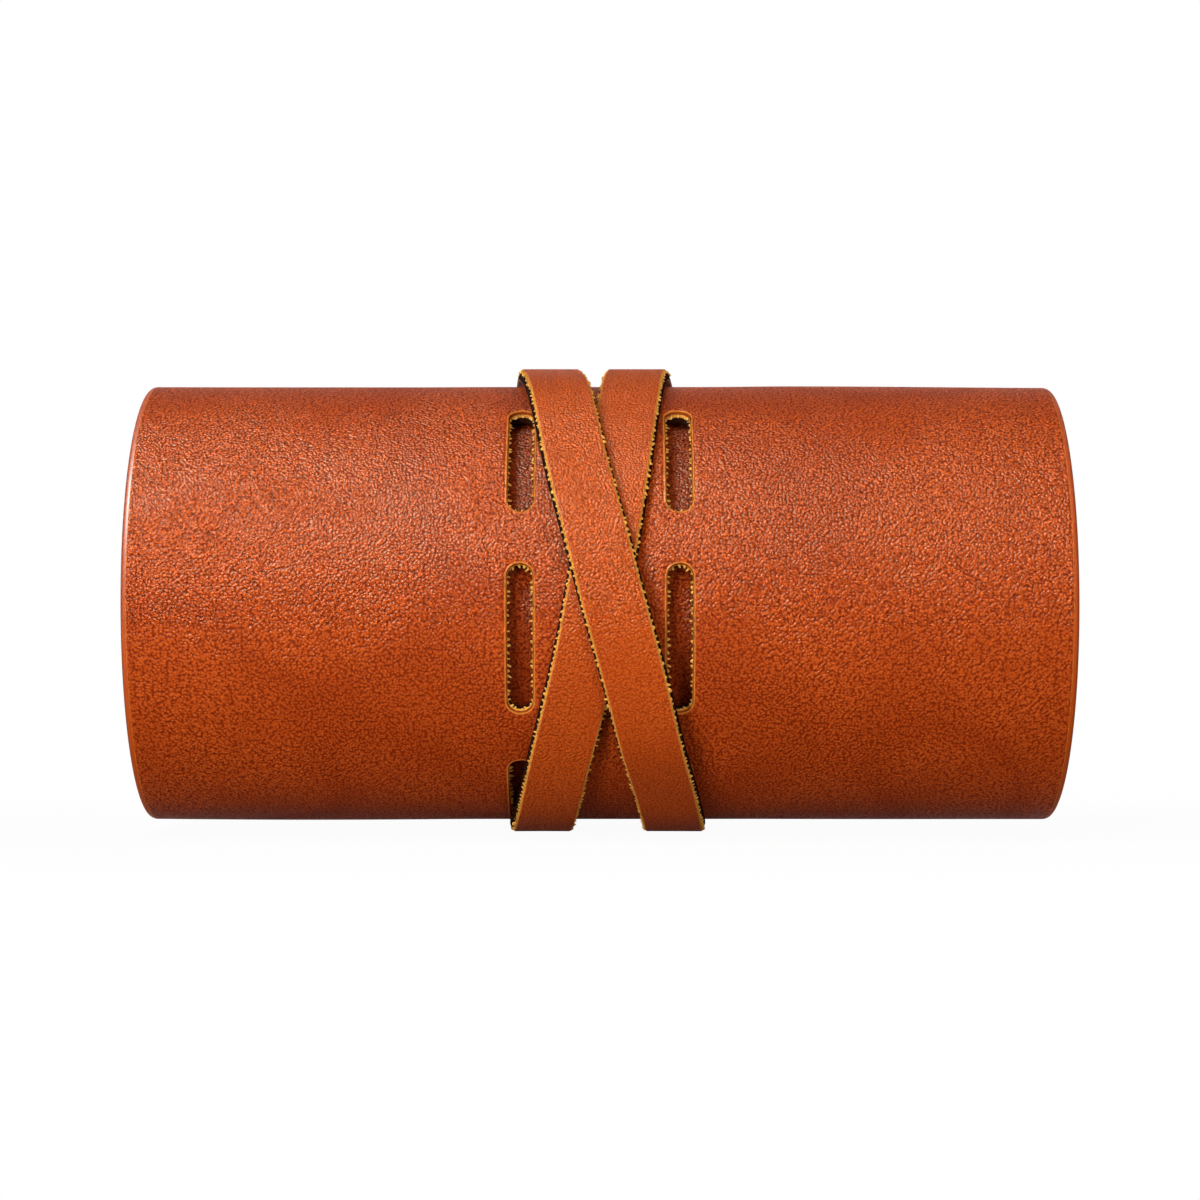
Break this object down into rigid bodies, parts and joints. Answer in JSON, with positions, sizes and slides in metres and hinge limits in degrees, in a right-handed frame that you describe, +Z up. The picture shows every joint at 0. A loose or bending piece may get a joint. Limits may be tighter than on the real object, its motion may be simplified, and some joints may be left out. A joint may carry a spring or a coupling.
{
  "type": "tech organizer roll",
  "caption": "Rolled sheet of slotted tan leather held shut by a flat leather strap that crosses in front, with pockets and cable loops inside.",
  "frame": {"origin": "bottom centre of the bounding box, on the surface that the roll rests on", "axes": "+X along the roll, +Z up, the crossing of the strap faces -Y"},
  "size_m": [0.19, 0.1036, 0.098],
  "materials": {
    "cover_leather": "tan vegetable-tanned grain leather, satin",
    "strap_leather": "tan strap leather with raw cut edges",
    "pocket_leather": "thin dark brown leather, matt",
    "thread": "waxed linen thread",
    "rivet": "polished brass"
  },
  "bodies": {
    "roll": {"roll_cover": "cover_leather", "pocket_panel": "pocket_leather", "pocket_seam_1": "thread", "pocket_seam_2": "thread", "pocket_seam_3": "thread", "pocket_seam_4": "thread", "pocket_seam_bottom": "thread", "cable_loop_1": "pocket_leather", "cable_loop_2": "pocket_leather", "cable_loop_3": "pocket_leather", "loop_rivet_1_front": "rivet", "loop_rivet_1_back": "rivet", "loop_rivet_2_front": "rivet", "loop_rivet_2_back": "rivet", "loop_rivet_3_front": "rivet", "loop_rivet_3_back": "rivet"},
    "strap": {"closure_strap": "strap_leather"},
    "tail": {"strap_tail": "strap_leather"},
    "keeper": {"strap_keeper": "strap_leather"}
  },
  "joints": [
    {"name": "strap_slide", "type": "slide", "parent": "roll", "child": "strap", "axis": [1, 0, 0], "range_m": [-0.118, 0.118]},
    {"name": "keeper_slide", "type": "hinge", "parent": "strap", "child": "keeper", "pos_m": [0.0117, -0.0004, 0.0482], "axis": [-1, 0, 0], "range_deg": [-5, 14]},
    {"name": "tail_lift", "type": "hinge", "parent": "strap", "child": "tail", "pos_m": [0.0116, 0.0441, 0.0739], "axis": [-1, 0, 0], "range_deg": [0, 75], "stiffness_Nm_per_rad": 0.003}
  ]
}
